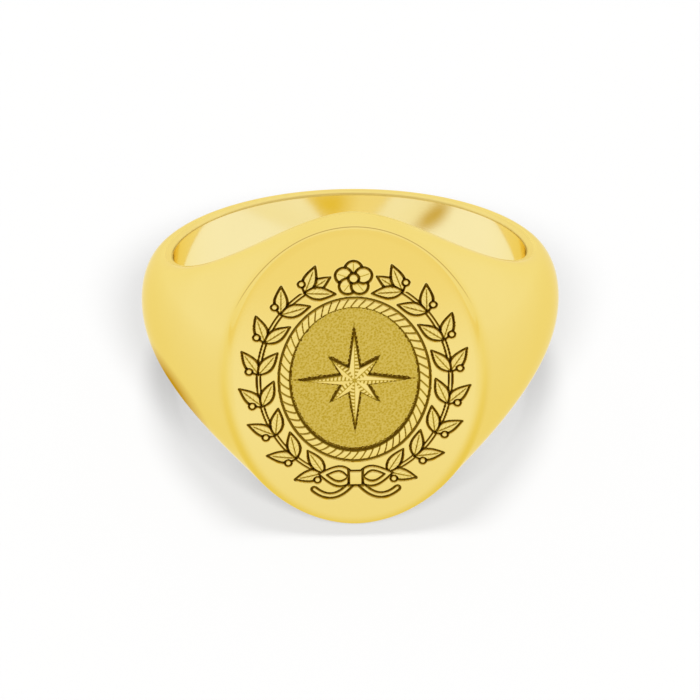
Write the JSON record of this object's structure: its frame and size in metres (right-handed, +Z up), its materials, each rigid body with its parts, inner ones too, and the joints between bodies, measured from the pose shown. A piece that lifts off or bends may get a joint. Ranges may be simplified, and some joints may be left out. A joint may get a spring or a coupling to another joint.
{
  "type": "signet ring",
  "caption": "Signet ring with an oval engraved table on a wide head, flared shoulders and a tapering band, built up round a finger sleeve.",
  "frame": {"origin": "centre of the finger hole", "axes": "+Z up with the ring lying on its side, +X to the wearer's right of the table, the table facing -Y and tilted up by the angle at which the ring rests"},
  "size_m": [0.0226, 0.0243, 0.0163],
  "materials": {
    "body_gold": "polished yellow gold",
    "sleeve_gold": "polished yellow gold",
    "table_gold": "polished yellow gold, engraved, with a stippled ground",
    "solder_gold": "hard solder, polished flush",
    "peg_gold": "drawn gold wire"
  },
  "bodies": {
    "root": {"finger_sleeve": "sleeve_gold", "shank": "body_gold", "shoulder_left": "body_gold", "shoulder_right": "body_gold", "head": "body_gold", "table_plate": "table_gold", "table_solder": "solder_gold", "shoulder_solder_left": "solder_gold", "shoulder_solder_right": "solder_gold", "shank_solder_left": "solder_gold", "shank_solder_right": "solder_gold", "table_pegs": "peg_gold", "shoulder_pegs": "peg_gold", "shank_pegs": "peg_gold"}
  },
  "joints": []
}
